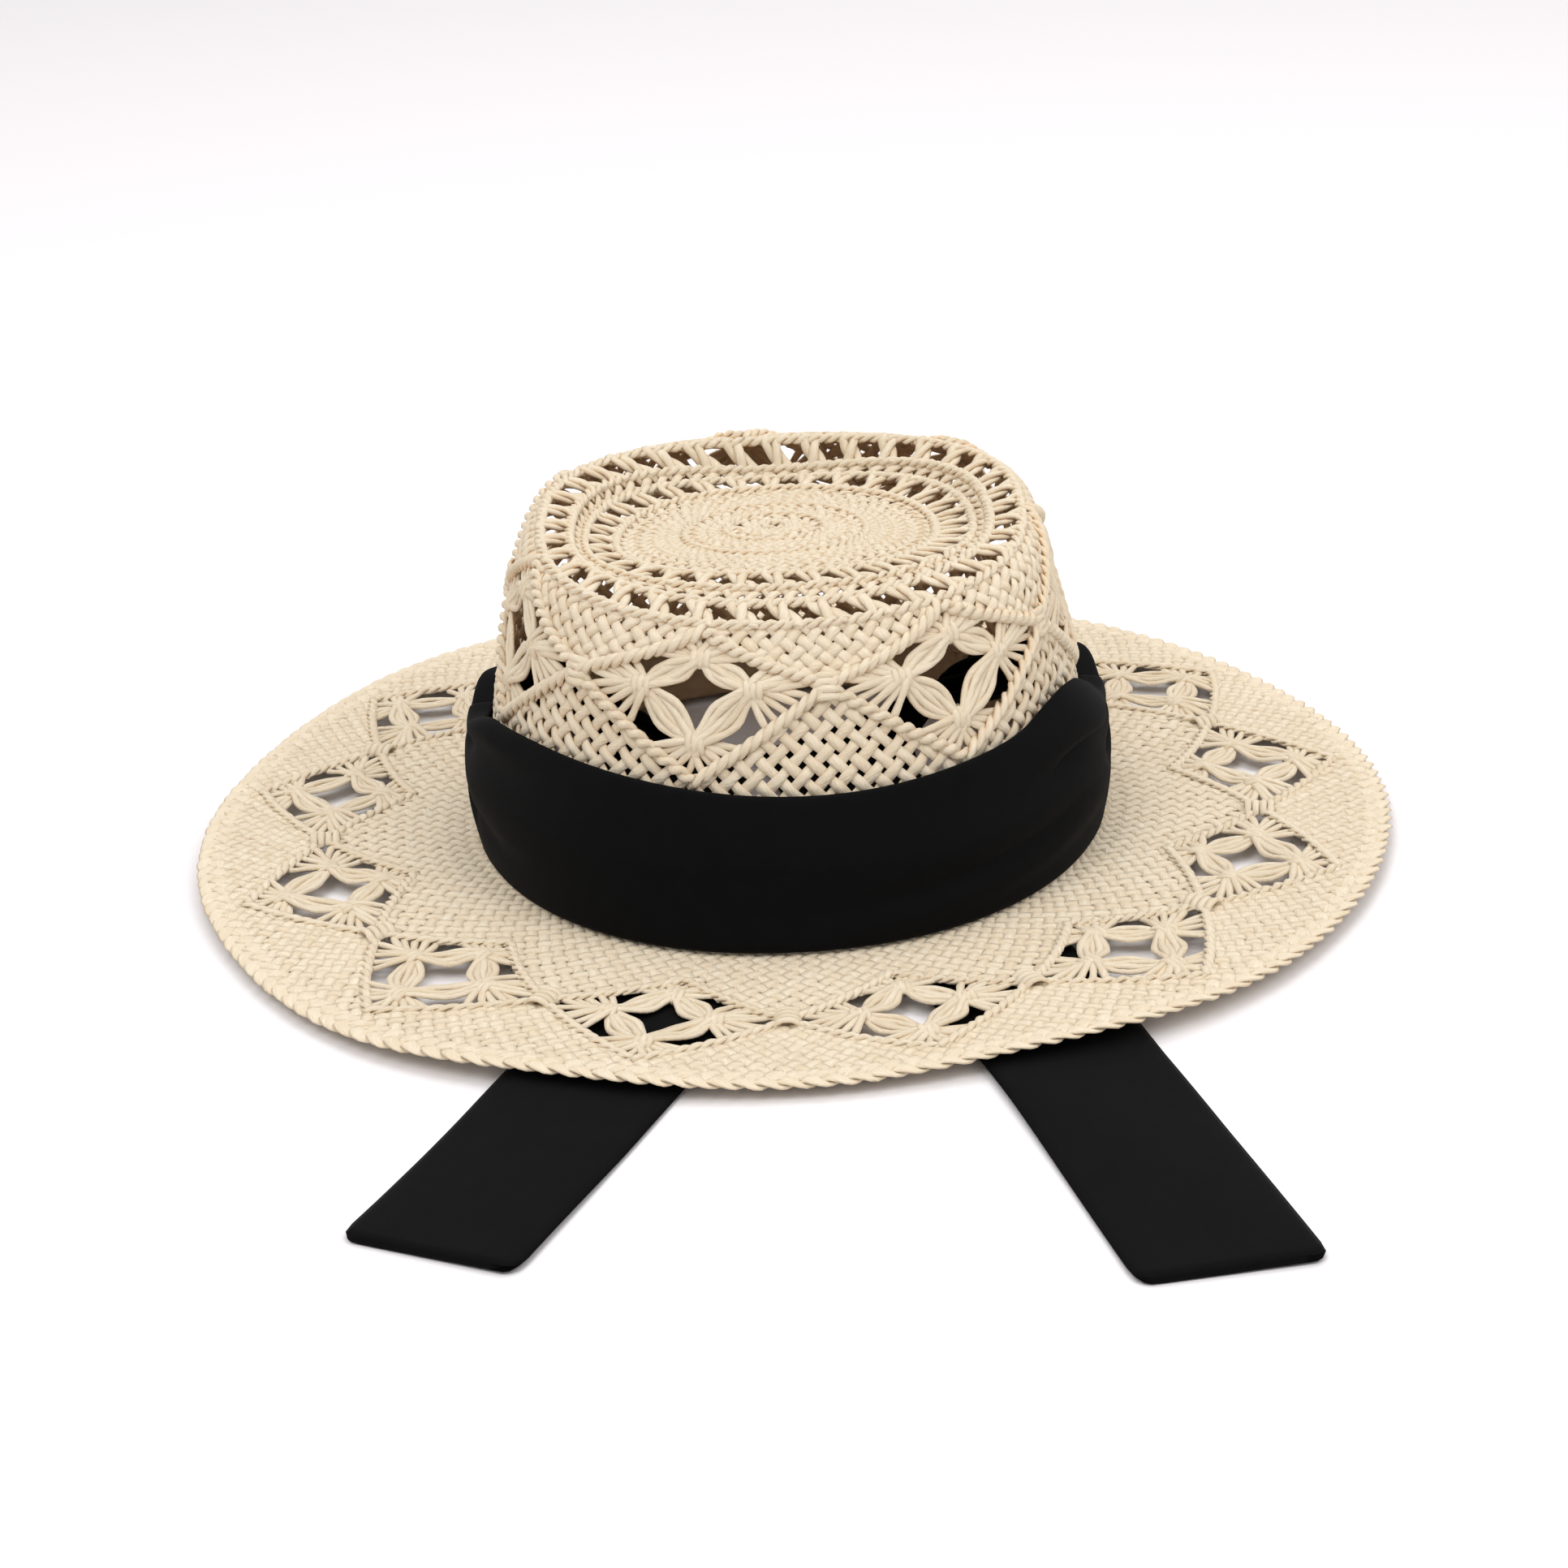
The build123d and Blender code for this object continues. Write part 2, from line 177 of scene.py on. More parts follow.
def unit_tube(around, along, closed=False):
    """A tube of radius 1 from z = 0 to 1, with rings along it."""
    tube = bmesh.new()
    bmesh.ops.create_cone(tube, cap_ends=not closed, segments=around, radius1=1, radius2=1, depth=1)
    bmesh.ops.translate(tube, verts=tube.verts, vec=(0, 0, 0.5))
    rungs = [e for e in tube.edges if abs(e.verts[0].co.z - e.verts[1].co.z) > 0.5]
    bmesh.ops.subdivide_edges(tube, edges=rungs, cuts=along - 1)
    mesh = bpy.data.meshes.new("unit")
    tube.to_mesh(mesh)
    tube.free()
    return mesh


def paint_strands(mesh, along_mm, side, tone, inner):
    """Give a mesh its strand map, u along a strand in centimetres and v across it, and two masks.

    They are each strand's tone, and inner, 1 on the side that looks into the crown, where painted shade goes.
    """
    corners = np.empty(len(mesh.loops), dtype=np.int32)
    mesh.loops.foreach_get("vertex_index", corners)
    strand_map = np.stack([along_mm / 10, side], axis=-1)[corners]
    mesh.uv_layers.new(name="strand").data.foreach_set("uv", strand_map.astype(np.float32).ravel())
    for name, values in (("tone", tone), ("inner", inner)):
        mask = mesh.attributes.new(name, "FLOAT", "POINT")
        mask.data.foreach_set("value", values.astype(np.float32))


def weld(mesh):
    """Join the two ends of every closed strand."""
    ring = bmesh.new()
    ring.from_mesh(mesh)
    bmesh.ops.remove_doubles(ring, verts=ring.verts, dist=2e-6)
    ring.to_mesh(mesh)
    ring.free()


def lay_strands(name, path, count, along, width, thick, around=6, closed=False):
    """A piece of count strands. path(strand, share) gives points in millimetres and the normals there.

    width and thick are in millimetres.
    """
    unit = unit_tube(around, along, closed)
    many = bmesh.new()
    for _ in range(count):
        many.from_mesh(unit)
    mesh = bpy.data.meshes.new(name)
    many.to_mesh(mesh)
    many.free()
    bpy.data.meshes.remove(unit)

    cross = np.empty(len(mesh.vertices) * 3, dtype=np.float64)
    mesh.vertices.foreach_get("co", cross)
    cross = cross.reshape(count, -1, 3)
    share = cross[..., 2]
    strand = np.broadcast_to(np.arange(count)[:, None], share.shape)
    centre, normal = path(strand, share)
    ahead = 0.002
    heading = path(strand, share + ahead)[0] - path(strand, share - ahead)[0]
    side = np.cross(normal, heading)
    side /= np.maximum(np.linalg.norm(side, axis=-1, keepdims=True), 1e-9)
    over = np.cross(heading, side)
    over /= np.maximum(np.linalg.norm(over, axis=-1, keepdims=True), 1e-9)
    line = path(*np.broadcast_arrays(np.arange(count)[:, None], np.linspace(0, 1, 40)))[0]
    length = np.linalg.norm(np.diff(line, axis=1), axis=-1).sum(axis=1)
    tone = chance.random(count)
    start = chance.random(count) * 300
    # Hand-twisted paper is never quite even
    twists = np.maximum(np.round(length / UNEVEN_EVERY), 1)
    uneven = 1 + UNEVEN * np.sin(2 * pi * (share * twists[:, None] + start[:, None]))
    points = centre + side * (cross[..., :1] * (width / 2 * uneven)[..., None])
    points = points + over * (cross[..., 1:2] * (thick / 2 * uneven)[..., None])
    mesh.vertices.foreach_set("co", (points * MM).astype(np.float32).ravel())
    # The last mask, inner, marks the straw's back above CROWN_INSIDE for painted shade
    paint_strands(
        mesh,
        (share * length[:, None] + start[:, None]).ravel(),
        cross[..., 0].ravel(),
        np.repeat(tone, share.shape[1]),
        (np.clip(-cross[..., 1], 0, 1) * (centre[..., 2] > CROWN_INSIDE)).ravel(),
    )
    if closed:
        weld(mesh)
    mesh.polygons.foreach_set("use_smooth", np.ones(len(mesh.polygons), dtype=bool))
    mesh.update()
    piece = bpy.data.objects.new(name, mesh)
    bpy.context.collection.objects.link(piece)
    return piece


def joined(name, pieces):
    """One piece from several, which keeps their strand maps and tones."""
    whole = bmesh.new()
    for piece in pieces:
        whole.from_mesh(piece.data)
        bpy.data.objects.remove(piece)
    mesh = bpy.data.meshes.new(name)
    whole.to_mesh(mesh)
    whole.free()
    result = bpy.data.objects.new(name, mesh)
    bpy.context.collection.objects.link(result)
    return result


# ---------------------------------------------------------------- diamonds and their places

def reach_of_width(half_width):
    """The reach on the brim where it has a half width."""
    on_brim = FINE > REACH["brim"]
    return float(np.interp(half_width, FINE_RINGS[0][on_brim], FINE[on_brim]))


class Openwork:
    """A ring of diamonds that touch at their side corners."""

    def __init__(self, count, first_corner, near, middle, far):
        self.count, self.first_corner = count, first_corner
        self.near, self.middle, self.far = near, middle, far
        self.step = 360 / count

    def spot(self, diamond, x, y):
        """Turn and reach in a diamond; x runs across from -1 to 1, and y from -1, far, to 1, near."""
        turn = self.first_corner + self.step * (diamond + 0.5 + 0.5 * x)
        reach = self.middle + np.where(y > 0, y * (self.near - self.middle), -y * (self.far - self.middle))
        return turn, reach

    def border(self, turn, apex):
        """The reach of the zigzag through the side corners and the near or far corners."""
        share = ((turn - self.first_corner) / self.step) % 1
        return apex + (self.middle - apex) * np.abs(2 * share - 1)


CROWN = Openwork(7, 8.0, REACH["crest"] + 1.8, REACH["chest"], REACH["waist"] - 1.0)
BRIM = Openwork(13, -1.5, reach_of_width(115.5), reach_of_width(138.5), reach_of_width(165.0))


# ---------------------------------------------------------------- woven fields

def diagonal_field(name, count, start, end, width, rise=0.62, along=30, border=None, thick=1.15):
    """Plain diagonal weave between two reaches: count strands each way, over and under by turns.

    border gives, for each turn, where the strands stop instead of at end.
    """
    loose = chance.normal(0, 0.05, 2 * count) * 360 / count

    def path(strand, share):
        family = np.where(strand < count, 1.0, -1.0)
        first = 360 * (strand % count) / count + loose[strand]

        def turn_at(reach):
            return first + family * (sweep(reach) - sweep(start))

        stop = np.full(share.shape, float(end))
        if border is not None:
            low, high = np.full(share.shape, float(start)), stop
            for _ in range(26):
                middle = (low + high) / 2
                inside = (border(turn_at(middle)) - middle) * np.sign(end - start) > 0
                low, high = np.where(inside, middle, low), np.where(inside, high, middle)
            stop = (low + high) / 2
        reach = start + (stop - start) * share
        rows = 2 * count * (sweep(reach) - sweep(start)) / 360
        turn = turn_at(reach)
        return place(turn, reach, family * rise * np.cos(pi * rows))

    return lay_strands(name, path, 2 * count, along, width, thick)


def ring_cord(name, reach, lift=0.4, size=1.9, coil=7.0, ply=2):
    """A closed cord of twisted strands round the hat at one reach."""
    coils = round(float(girth(reach)) / coil)

    def path(strand, share):
        angle = 2 * pi * (share * coils + strand / ply)
        return place(360 * share, reach + 0.45 * size * np.cos(angle), lift + 0.4 * size * np.sin(angle))

    along = int(coils * 7)
    return lay_strands(name, path, ply, along, size, size * 0.8, closed=True)


def ladder_posts(name, count, start, end, lean, width=2.3, strands=3):
    """Slanted posts across a ring of openings, each a gathered bundle of strands."""

    def path(strand, share):
        post, ply = strand // strands, strand % strands
        reach = start + (end - start) * share
        per_mm = 360 / girth(reach)
        gather = 0.62 + 0.5 * np.abs(2 * share - 1) ** 1.5
        # The post's strands are twisted round each other
        twist = 2 * pi * (0.55 * share + ply / strands)
        sideways = 2.3 * gather * np.cos(twist) + lean * (share - 0.5)
        turn = 360 * post / count + sideways * per_mm
        return place(turn, reach, 0.3 + 0.9 * np.sin(twist))

    return lay_strands(name, path, count * strands, 14, width, 1.7)


# ---------------------------------------------------------------- openwork diamonds

STRANDS_EACH_WAY = 10
KNOTS = ((-0.43, 0.0), (0.0, 0.58), (0.43, 0.0), (0.0, -0.58))


def gathered(line, share):
    """Where one strand runs across a diamond: close together at two knots, a petal between, fans outside."""
    first = line < 0.5
    own = (line - np.where(first, 0.25, 0.75)) / 0.2
    from_middle = share - np.where(first, 0.5375, 0.4625)
    bundle = np.where(first, 0.2475, 0.7525) + 0.0375 * np.cos(pi * np.clip(2 * from_middle + 0.5, 0, 1))
    from_middle = np.abs(from_middle)
    petal = 0.062 * np.cos(2 * pi * from_middle) ** 2
    fan = 0.13 * np.clip((from_middle - 0.25) / 0.25, 0, 1) ** 0.9
    return bundle + own * (0.028 + np.where(from_middle < 0.25, petal, fan))


def diamond_threads(name, openwork, diamond):
    """The strands of one diamond: bundles that meet in four knots, with fans out to the border."""
    line_noise = chance.normal(0, 0.006, 2 * STRANDS_EACH_WAY)

    def path(strand, share):
        way = strand // STRANDS_EACH_WAY
        line = (strand % STRANDS_EACH_WAY + 0.5) / STRANDS_EACH_WAY + line_noise[strand]
        run = -0.03 + 1.06 * share
        across = gathered(line, np.clip(run, 0, 1))
        xi, eta = np.where(way == 0, run, across), np.where(way == 0, across, run)
        turn, reach = openwork.spot(diamond, xi + eta - 1, xi - eta)
        knot = np.cos(2 * pi * run) ** 2
        lift = np.where(way == 0, 0.55, -0.35) * (1 - knot) + 0.5 * np.sin(2 * pi * np.clip(run, 0, 1)) ** 2
        lift = lift + 0.35 * np.cos(strand * 2.4 + 9 * share)
        return place(turn, reach, lift)

    return lay_strands(name, path, 2 * STRANDS_EACH_WAY, 26, 2.35, 1.35)


def knot_wraps(name, openwork, diamond, wraps=3):
    """Short wraps over the four knots of a diamond."""

    def path(strand, share):
        knot, wrap = strand // wraps, strand % wraps - (wraps - 1) / 2
        x = np.choose(knot, [k[0] for k in KNOTS])
        y = np.choose(knot, [k[1] for k in KNOTS])
        turn, reach = openwork.spot(diamond, x, y)
        turn = turn + wrap * 1.8 * 360 / girth(reach)
        bend = 2 * share - 1
        return place(turn, reach + 3.3 * np.sin(bend * pi / 2), 2.0 * np.cos(bend * pi / 2) - 0.5)

    return lay_strands(name, path, 4 * wraps, 10, 2.2, 1.2)


def twined_border(name, openwork, size=1.0):
    """The raised cords along every edge of the diamonds, with a stack of wraps where diamonds meet."""
    edges = ((-1, 0, 0, 1), (0, 1, 1, 0), (-1, 0, 0, -1), (0, -1, 1, 0))
    coils = 6

    def path(strand, share):
        edge, ply = strand // 2, strand % 2
        diamond, kind = edge // 4, edge % 4
        x0, y0, x1, y1 = (np.choose(kind, [e[i] for e in edges]) for i in range(4))
        angle = 2 * pi * (coils * share + ply / 2)
        turn, reach = openwork.spot(diamond, x0 + (x1 - x0) * share, y0 + (y1 - y0) * share)
        return place(turn, reach + 1.15 * size * np.cos(angle), size * (0.9 + 0.95 * np.sin(angle)))

    cords = lay_strands(name, path, openwork.count * 8, 54, 2.5, 1.8 * size)
    layers = 4

    def stack(strand, share):
        corner, layer = strand // layers, strand % layers - (layers - 1) / 2
        turn = openwork.first_corner + openwork.step * corner
        bend = 2 * share - 1
        per_mm = 360 / girth(openwork.middle)
        reach = openwork.middle + layer * 2.2 + 0 * share
        return place(turn + 3.6 * per_mm * np.sin(bend * pi / 2), reach, 2.6 * np.cos(bend * pi / 2) - 0.3)

    wraps = lay_strands(name, stack, openwork.count * layers, 12, 2.4, 1.3)
    return joined(name, [cords, wraps])


# ---------------------------------------------------------------- the plaited edge

def edge_braid(name):
    """A flat plait of three strands round the brim's edge."""
    plaits = 61
    reach = REACH["edge"] - 2.4

    def path(strand, share):
        angle = 2 * pi * (share * plaits + strand / 3)
        across = 2.5 * np.sin(angle)
        return place(360 * share, reach + across, -0.3 + 0.6 * np.sin(2 * angle))

    return lay_strands(name, path, 3, plaits * 14, 4.6, 1.2, around=8, closed=True)


# ---------------------------------------------------------------- the ribbons

RIBBON_WIDTH = 47.0
CLOTH = 1.9  # thickness of the doubled ribbon
STITCHES = 140  # stitches round the sweatband
BAND_SQUARE = 2.1  # squareness of the band seen from above
TAPE_MIDDLE, TAPE_HALF = 14.1, 10.9  # height of the sweatband's middle and half its width
TAPE_INSET = 2.7  # how far it lies inside the straw's middle
TAPE_SQUARE = 2.05  # its squareness seen from above
PLEATS = 3.5  # pleats across a gathered ribbon
CLEAR = 2.0  # a ribbon's middle lies this far off the straw's middle
BAND_END = 97.0  # the band runs this many degrees round to each side
BAND_END_HEIGHTS = (17.0, 35.0)  # of its lower and upper edge there
SLOT_TURN = 111.0  # and then goes in through the crown here


def ease(value, start, end):
    """0 before start, 1 after end, and smooth in between."""
    share = np.clip((value - start) / (end - start), 0, 1)
    return share * share * (3 - 2 * share)


def lay_ribbon(name, surface, along, across=30, thick=CLOTH, closed=False):
    """A doubled ribbon. surface(share, w) gives points in millimetres, with w from -1 to 1 across."""
    unit = unit_tube(2 * across, along, closed)
    mesh = unit.copy()
    mesh.name = name
    bpy.data.meshes.remove(unit)
    cross = np.empty(len(mesh.vertices) * 3)
    mesh.vertices.foreach_get("co", cross)
    cross = cross.reshape(-1, 3)
    share, angle = cross[:, 2], np.arctan2(cross[:, 1], cross[:, 0])
    w = 1 - 2 * np.abs(angle) / pi
    tuck_in = 1 if closed else 1 - 0.02 * (1 - np.clip(np.minimum(share, 1 - share) / 0.004, 0, 1))
    d = 0.004
    middle = surface(share, w * tuck_in)
    ahead = surface(share + d, w) - surface(share - d, w)
    aside = surface(share, np.minimum(w + d, 1)) - surface(share, np.maximum(w - d, -1))
    normal = np.cross(aside, ahead)
    normal /= np.maximum(np.linalg.norm(normal, axis=-1, keepdims=True), 1e-9)
    half = thick / 2 * (1 - np.abs(w) ** 9) ** (1 / 2.5) * np.sign(angle)
    points = middle + normal * half[:, None]
    mesh.vertices.foreach_set("co", (points * MM).astype(np.float32).ravel())
    steps = np.linspace(0, 1, 200)
    line = surface(steps, np.zeros(200))
    length = np.linalg.norm(np.diff(line, axis=0), axis=-1).sum()
    paint_strands(mesh, share * length, w * RIBBON_WIDTH / 20, np.full(len(w), 0.5), np.zeros(len(w)))
    if closed:
        weld(mesh)
    mesh.polygons.foreach_set("use_smooth", np.ones(len(mesh.polygons), dtype=bool))
    mesh.update()
    piece = bpy.data.objects.new(name, mesh)
    bpy.context.collection.objects.link(piece)
    return piece


def pleats(width, w):
    """Pleats across a ribbon squeezed to a width: as deep as it takes to hold all of its cloth."""
    squeezed = np.maximum(RIBBON_WIDTH / np.maximum(width, 8.0), 1.0)
    depth = width / PLEATS / 4 * np.sqrt(squeezed**2 - 1)
    return depth, np.sin(PLEATS * pi * w)


def band_surface(turn, w):
    """The scarf round the outside of the crown at a turn, with w from its lower to its upper edge."""
    up = (w + 1) / 2
    side = np.abs(turn)
    left, right = bump_near(turn, -72, 10), bump_near(turn, 64, 10)
    low = 5.9 + 11.0 * ease(side, 72, 98)
    high = 51.0 - 16.0 * ease(side, 66, 94) + 4.5 * bump_near(turn, 60, 7) - 5.2 * bump_near(turn, 6, 27)
    z = low + (high - low) * up
    a = np.interp(z, (5, 28, 44, 52), (92.6, 94.0, 90.0, 86.8))
    b = np.interp(z, (5, 28, 44, 52), (112.4, 108.0, 101.6, 98.4))
    shift = np.interp(z, (5, 28, 52), (-2.0, -1.0, 0.2))

    def hump(centre, spread):
        return np.exp(-(((w - centre) / spread) ** 2))

    # Soft folds along the ribbon at the right of the front
    slide = 0.006 * (turn - 35)
    out = 1.1 * hump(-0.62 + slide, 0.14) * bump_near(turn, 40, 24)
    out = out - 1.2 * hump(-0.3 + slide, 0.13) * bump_near(turn, 46, 22)
    out = out + 0.6 * hump(0.05 + slide, 0.2) * bump_near(turn, 44, 26)
    out = out + 0.35 * np.sin(0.055 * turn + 4 * w)
    # The right end stands out as a collar, folded over the ribbon below it
    out = out + right * (6.0 * hump(0.66, 0.25) - 3.0 * hump(0.24, 0.14) + 2.4 * hump(-0.2, 0.26))
    z = z + right * (2.4 * hump(0.24, 0.14) - 3.0 * hump(0.6, 0.2))
    # The left end is rolled inwards at the top, with a bulge and a soft notch below
    out = out + left * (4.6 * hump(0.8, 0.22) + 1.6 * hump(0.1, 0.4) - 2.2 * hump(-0.5, 0.16))
    z = z - 2.2 * left * hump(1.0, 0.14)
    s, c, k = oval(np.radians(turn), BAND_SQUARE)
    free = np.stack([(a + out) * k * s, shift - (b + out) * k * c, z], axis=-1)
    # Past its ends the ribbon is drawn in against the crown, in pleats
    depth, wave = pleats(high - low, w)
    reach = np.interp(z, (8, 47), (REACH["base"], REACH["waist"]))
    drawn = place(turn, reach, CLEAR + depth * (1 + wave))[0]
    tuck = ease(side, 70, 96)[..., None]
    return free * (1 - tuck) + drawn * tuck


def band_on_hat(share, w):
    return band_surface(-BAND_END + 2 * BAND_END * share, w)


def sweatband_surface(share, w):
    """The woven tape round the inside of the crown's base."""
    z = TAPE_MIDDLE + TAPE_HALF * w
    below = 8 - z
    a = 89.0 + 0.12 * below - TAPE_INSET
    front = -104 - 0.21 * below + TAPE_INSET
    back = 100 + 0.108 * below - TAPE_INSET
    turn = 2 * pi * share
    s, c, k = oval(turn, TAPE_SQUARE)
    y = (front + back) / 2 - (back - front) / 2 * k * c
    return np.stack([a * k * s, y, z + 0.4 * np.sin(5 * turn)], axis=-1)


def make_sweatband():
    """The tape and the row of stitches along its upper edge."""
    tape = lay_ribbon("sweatband_tape", sweatband_surface, 200, across=14, thick=1.1, closed=True)
    rest_on_hat(tape, ["sweatband"])

    def stitch(strand, share):
        at = (strand + 0.18 + 0.64 * share) / STITCHES
        spot = sweatband_surface(at, np.full(share.shape, 0.72))
        outward = spot * (1, 1, 0) / np.linalg.norm(spot[..., :2], axis=-1, keepdims=True)
        return spot - outward * (0.35 + 0.55 * np.sin(pi * np.clip(share, 0, 1)))[..., None], outward

    seam = lay_strands("sweatband_stitches", stitch, STITCHES, 6, 0.8, 0.6)
    rest_on_hat(seam, [])
    return [tape, seam]


def smooth_path(stops, share):
    """A smooth curve through stops, at equal shares."""
    stops = np.asarray(stops, dtype=float)
    count = len(stops) - 1
    at = np.clip(share, 0, 1) * count
    i = np.clip(at.astype(int), 0, count - 1)
    t = (at - i)[..., None]
    padded = np.vstack([2 * stops[0] - stops[1], stops, 2 * stops[-1] - stops[-2]])
    p0, p1, p2, p3 = padded[i], padded[i + 1], padded[i + 2], padded[i + 3]
    slope, bend, twist = p2 - p0, 2 * p0 - 5 * p1 + 4 * p2 - p3, 3 * p1 - p0 - 3 * p2 + p3
    return 0.5 * (2 * p1 + slope * t + bend * t**2 + twist * t**3)


def gathered_end(side, rear):
    """The ribbon from the band's end in through the crown and down inside, to where its tail starts."""
    reach = np.array(REACH["waist"] + 16.0)
    slot, _ = place(np.array(side * SLOT_TURN), reach)
    band_edges = np.interp(BAND_END_HEIGHTS, (8, 47), (REACH["base"], REACH["waist"]))
    start, outward = place(np.full(2, side * BAND_END), band_edges)
    start = start + outward * CLEAR
    before, _ = place(np.array(side * (SLOT_TURN - 5)), reach, CLEAR)
    inward = -slot * (1, 1, 0) / np.linalg.norm(slot[:2])
    inside = slot + inward * 12
    end = np.array([rear, 33.5, 1.9])
    lower = [start[0], before + (0, 0, -8), slot + (0, 0, -8) + inward, inside + (0, 0, -9)]
    upper = [start[1], before + (0, 0, 8), slot + (0, 0, 8) + inward, inside + (0, 0, 11)]
    middle = inside * 0.55 + end * 0.45 + (0, 16, 2)
    half = RIBBON_WIDTH / 2 * side
    lower += [middle + (-13 * side, 0, -9), end + (-22 * side, 8, 2.0), end + (-half, 0, 0)]
    upper += [middle + (13 * side, 0, 9), end + (22 * side, 8, 2.0), end + (half, 0, 0)]

    def spine(share):
        return (smooth_path(lower, share) + smooth_path(upper, share)) / 2

    def surface(share, w):
        low, high = smooth_path(lower, share), smooth_path(upper, share)
        across = high - low
        width = np.linalg.norm(across, axis=-1)
        ahead = spine(np.minimum(share + 0.02, 1)) - spine(np.maximum(share - 0.02, 0))
        face = side * np.cross(ahead, across)
        face /= np.linalg.norm(face, axis=-1, keepdims=True)
        depth, wave = pleats(width, w)
        outside = 1 - ease(share, 0.15, 0.4)
        flat = low + across * ((w + 1) / 2)[..., None]
        return flat + face * (depth * (outside + wave))[..., None]

    return surface


TAIL_STOPS = {
    "left": [
        (-37, 40), (-36.5, 24), (-36, -20), (-37, -70),
        (-39.5, -115), (-46, -155), (-62, -198), (-90.5, -265),
    ],
    "right": [
        (16, 40), (18, 24), (29, -20), (41, -72),
        (53, -118), (64, -158), (77, -208), (96.2, -289.5),
    ],
}
TAIL_WIDTHS = {"left": 48.5, "right": 46.5}
END_SLANT = {"left": 1.5, "right": 1.5}  # how much further one corner of a tail's end reaches


def tail_surface(side):
    """A tail that lies forward on the floor, from inside the crown out under the brim's edge."""
    stops = np.array(TAIL_STOPS[side], dtype=float)

    def route(share):
        return smooth_path(stops, share)

    def surface(share, w):
        spot = route(share)
        heading = route(np.minimum(share + 0.01, 1)) - route(np.maximum(share - 0.01, 0))
        heading /= np.linalg.norm(heading, axis=-1, keepdims=True)
        aside = np.stack([-heading[..., 1], heading[..., 0]], axis=-1)
        half = TAIL_WIDTHS[side] / 2 * (1 - 0.015 * np.sin(9 * share))
        slant = END_SLANT[side] * w * ease(share, 0.8, 1.0)
        slant = slant - 3.5 * np.clip((np.abs(w) - 0.84) / 0.16, 0, 1) ** 2 * ease(share, 0.95, 1.0)
        flat = spot + aside * (half * w)[..., None] + heading * slant[..., None]
        wave = 0.5 * np.sin(11 * share + 1.2 * w) * np.sin(pi * share) + 0.35 * np.sin(23 * share - 2 * w)
        puff = 0.5 * bump_near(share * 360, 330, 40) * (1 - w * w)
        z = 1.35 + np.clip(wave, -0.3, 0.9) * ease(share, 0.05, 0.2) + puff
        return np.concatenate([flat, z[..., None]], axis=-1)

    return surface


def make_scarf():
    """The band, its gathered ends through the crown, and the two tails."""
    made = []
    band = lay_ribbon("scarf_wrap", band_on_hat, 190, across=44)
    rest_on_hat(band, ["scarf_band"])
    made.append(band)
    for side, hand in (("left", -1), ("right", 1)):
        rear = TAIL_STOPS[side][0][0]
        gather = lay_ribbon(f"scarf_gather_{side}", gathered_end(hand, rear), 90, across=56, thick=1.1)
        rest_on_hat(gather, [f"scarf_tuck_{side}"])
        made.append(gather)
        tail = lay_ribbon(f"scarf_end_{side}", tail_surface(side), 150, across=30)
        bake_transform(tail)
        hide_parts(f"scarf_tail_{side}")
        made.append(tail)
    return made


def ribbon_material():
    """Black crepe: a fine crossed weave and a faint bloom."""
    made = bpy.data.materials.new("ribbon")
    made.use_nodes = True
    tree = made.node_tree
    shader = tree.nodes["Principled BSDF"]
    link = tree.links.new
    cloth = node(tree, "ShaderNodeUVMap", uv_map="strand")
    grain = node(tree, "ShaderNodeTexNoise", Scale=60.0, Detail=3.0)
    broad = node(tree, "ShaderNodeTexNoise", Scale=1.3, Detail=2.0)
    warp = node(tree, "ShaderNodeTexWave", Scale=22.0, Distortion=1.5)
    link(cloth.outputs["UV"], grain.inputs["Vector"])
    link(cloth.outputs["UV"], broad.inputs["Vector"])
    link(cloth.outputs["UV"], warp.inputs["Vector"])
    tone = node(tree, "ShaderNodeMix", data_type="RGBA")
    tone.inputs[6].default_value = (0.0012, 0.0012, 0.0013, 1)
    tone.inputs[7].default_value = (0.0026, 0.0026, 0.0029, 1)
    link(broad.outputs[0], tone.inputs["Factor"])
    link(tone.outputs[2], shader.inputs["Base Color"])
    height = node(tree, "ShaderNodeMath", operation="MULTIPLY_ADD")
    link(warp.outputs["Fac"], height.inputs[0])
    height.inputs[1].default_value = 0.4
    link(grain.outputs[0], height.inputs[2])
    bump = node(tree, "ShaderNodeBump", Strength=0.25, Distance=0.0002)
    link(height.outputs[0], bump.inputs["Height"])
    link(bump.outputs[0], shader.inputs["Normal"])
    shader.inputs["Roughness"].default_value = 0.85
    shader.inputs["Specular IOR Level"].default_value = 0.08
    shader.inputs["Sheen Weight"].default_value = 0.01
    shader.inputs["Sheen Roughness"].default_value = 0.45
    return made


# ---------------------------------------------------------------- making the straw pieces

def rest_on_hat(piece, nodes):
    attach(piece, "hat")
    if nodes:
        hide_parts(*nodes)


